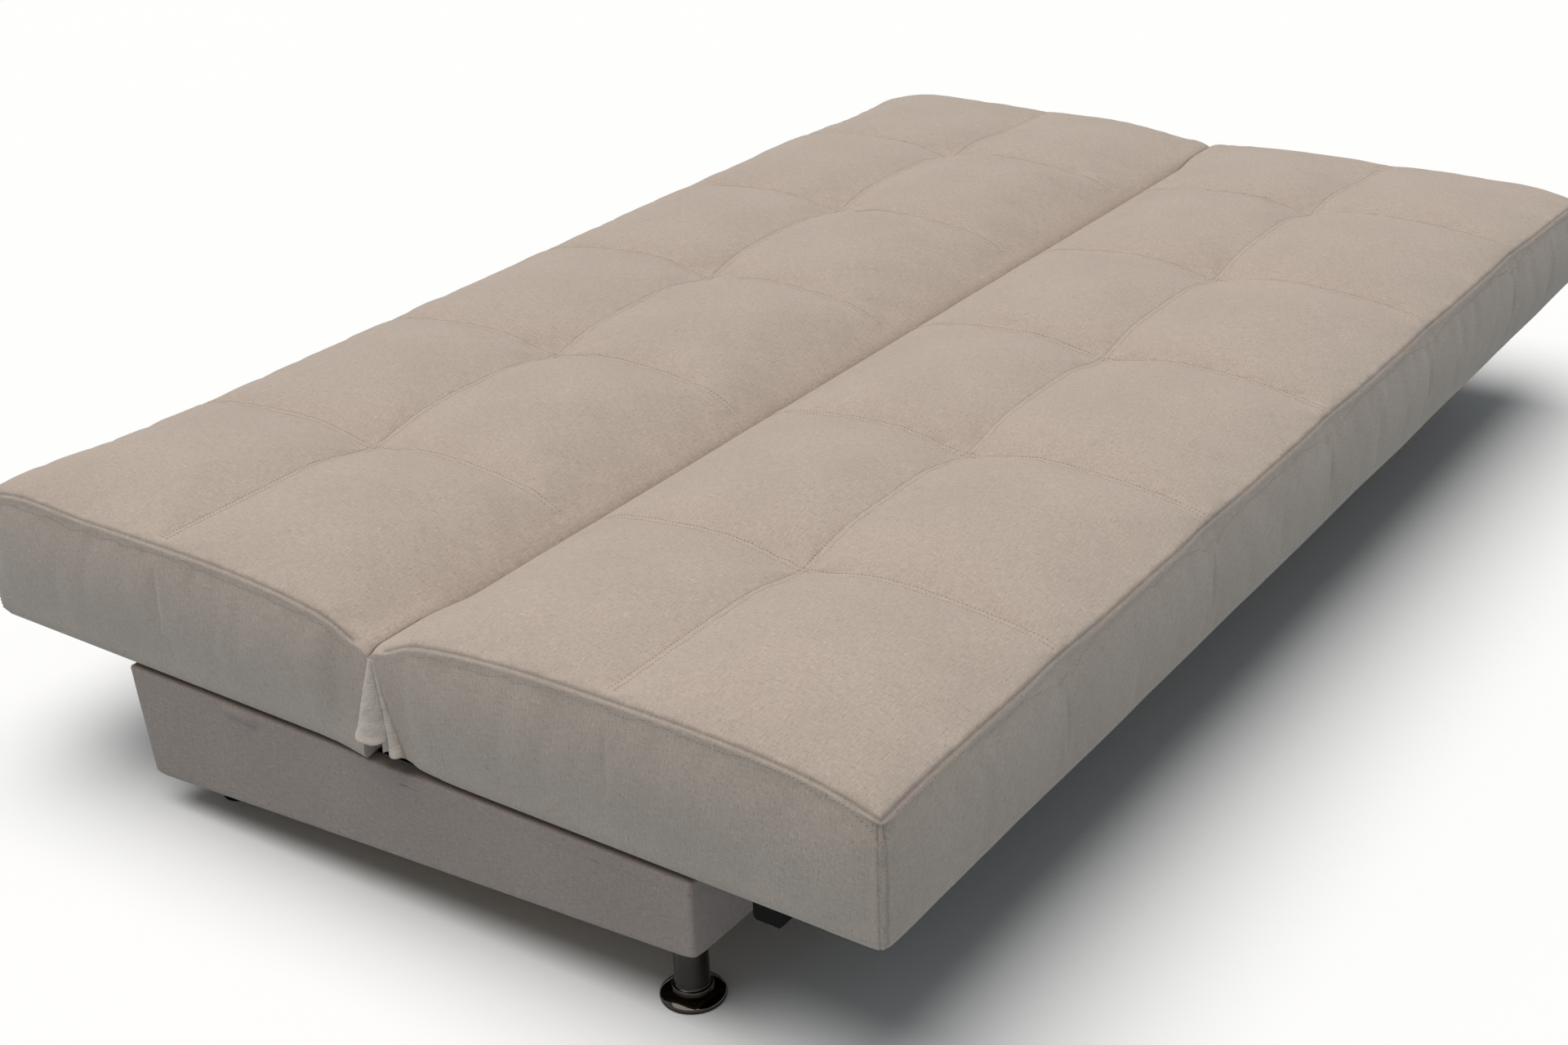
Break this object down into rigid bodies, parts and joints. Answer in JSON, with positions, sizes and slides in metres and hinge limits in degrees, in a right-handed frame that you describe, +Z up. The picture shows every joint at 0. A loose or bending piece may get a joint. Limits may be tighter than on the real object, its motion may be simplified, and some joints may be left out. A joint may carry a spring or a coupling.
{
  "type": "sofa bed",
  "caption": "Book-type sofa bed opened flat: two tufted halves on a storage box, joined by a swinging hinge linkage with ratchets.",
  "frame": {"origin": "on the floor under the middle of the opened bed", "axes": "+Z up, X along the bed, -Y towards the seat's front"},
  "size_m": [1.94, 1.2, 0.3524],
  "materials": {
    "cover_fabric": "woven marl, matt",
    "box_fabric": "woven marl, matt",
    "timber": "planed softwood",
    "slat_wood": "bent plywood",
    "hardboard": "pressed board",
    "zinc_steel": "zinc plated",
    "black_steel": "black powder coat",
    "chrome": "polished",
    "black_plastic": "moulded",
    "rubber": "soft pad",
    "dust_cloth": "non-woven"
  },
  "bodies": {
    "box": {"box_front_panel": "box_fabric", "box_rear_panel": "box_fabric", "box_end_panel_left": "box_fabric", "box_end_panel_right": "box_fabric", "box_bottom_panel": "hardboard", "box_centre_batten": "timber", "front_foot_left": "chrome", "front_foot_right": "chrome", "rear_foot_left": "black_plastic", "rear_foot_right": "black_plastic", "base_plate_left": "zinc_steel", "corner_block_front_left": "timber", "rest_pad_front_left": "rubber", "corner_block_rear_left": "timber", "rest_pad_rear_left": "rubber", "base_plate_right": "zinc_steel", "corner_block_front_right": "timber", "rest_pad_front_right": "rubber", "corner_block_rear_right": "timber", "rest_pad_rear_right": "rubber"},
    "front_link_left": {"front_link_left": "black_steel"},
    "front_link_right": {"front_link_right": "black_steel"},
    "rear_link_left": {"rear_link_left": "black_steel"},
    "rear_link_right": {"rear_link_right": "black_steel"},
    "hinge_carriage": {"hinge_bracket_left": "zinc_steel", "hinge_gusset_left": "cover_fabric", "hinge_bracket_right": "zinc_steel", "hinge_gusset_right": "cover_fabric", "tie_tube": "black_steel"},
    "seat_half": {"seat_arm_left": "black_steel", "seat_stop_block_left": "black_plastic", "seat_end_rail_left": "timber", "seat_cross_rail_left": "timber", "seat_arm_right": "black_steel", "seat_stop_block_right": "black_plastic", "seat_end_rail_right": "timber", "seat_cross_rail_right": "timber", "seat_outer_rail": "timber", "seat_seam_rail": "timber", "seat_slat_1": "slat_wood", "seat_slat_2": "slat_wood", "seat_slat_3": "slat_wood", "seat_cushion": "cover_fabric", "seat_under_cloth": "dust_cloth"},
    "back_half": {"back_arm_left": "black_steel", "back_end_rail_left": "timber", "back_cross_rail_left": "timber", "back_arm_right": "black_steel", "back_end_rail_right": "timber", "back_cross_rail_right": "timber", "back_outer_rail": "timber", "back_seam_rail": "timber", "back_slat_1": "slat_wood", "back_slat_2": "slat_wood", "back_slat_3": "slat_wood", "back_cushion": "cover_fabric", "back_under_cloth": "dust_cloth"},
    "pawl_left": {"ratchet_pawl_left": "zinc_steel"},
    "pawl_right": {"ratchet_pawl_right": "zinc_steel"}
  },
  "joints": [
    {"name": "linkage_swing", "type": "hinge", "parent": "box", "child": "front_link_left", "pos_m": [-0.9405, 0.072, 0.10038], "axis": [-1, 0, 0], "range_deg": [0, 117.74]},
    {"name": "front_link_right_swing", "type": "hinge", "parent": "box", "child": "front_link_right", "pos_m": [0.9405, 0.072, 0.10038], "axis": [-1, 0, 0], "range_deg": [0, 117.74]},
    {"name": "rear_link_left_swing", "type": "hinge", "parent": "box", "child": "rear_link_left", "pos_m": [-0.9405, 0.142, 0.10038], "axis": [-1, 0, 0], "range_deg": [0, 117.74]},
    {"name": "rear_link_right_swing", "type": "hinge", "parent": "box", "child": "rear_link_right", "pos_m": [0.9405, 0.142, 0.10038], "axis": [-1, 0, 0], "range_deg": [0, 117.74]},
    {"name": "carriage_level", "type": "hinge", "parent": "front_link_left", "child": "hinge_carriage", "pos_m": [-0.9405, -0.035, 0.165], "axis": [-1, 0, 0], "range_deg": [-117.74, 0]},
    {"name": "seat_lift", "type": "hinge", "parent": "hinge_carriage", "child": "seat_half", "pos_m": [0, 0, 0.29], "axis": [-1, 0, 0], "range_deg": [0, 28]},
    {"name": "back_fold", "type": "hinge", "parent": "hinge_carriage", "child": "back_half", "pos_m": [0, 0, 0.29], "axis": [1, 0, 0], "range_deg": [0, 86]},
    {"name": "pawl_left_click", "type": "hinge", "parent": "seat_half", "child": "pawl_left", "pos_m": [-0.9205, -0.026, 0.25], "axis": [1, 0, 0], "range_deg": [0, 12]},
    {"name": "pawl_right_click", "type": "hinge", "parent": "seat_half", "child": "pawl_right", "pos_m": [0.9205, -0.026, 0.25], "axis": [1, 0, 0], "range_deg": [0, 12]}
  ],
  "couplings": [
    {"joint": "front_link_right_swing", "follows": "linkage_swing", "ratio": 1},
    {"joint": "rear_link_left_swing", "follows": "linkage_swing", "ratio": 1},
    {"joint": "rear_link_right_swing", "follows": "linkage_swing", "ratio": 1},
    {"joint": "carriage_level", "follows": "linkage_swing", "ratio": -1},
    {"joint": "pawl_right_click", "follows": "pawl_left_click", "ratio": 1}
  ]
}
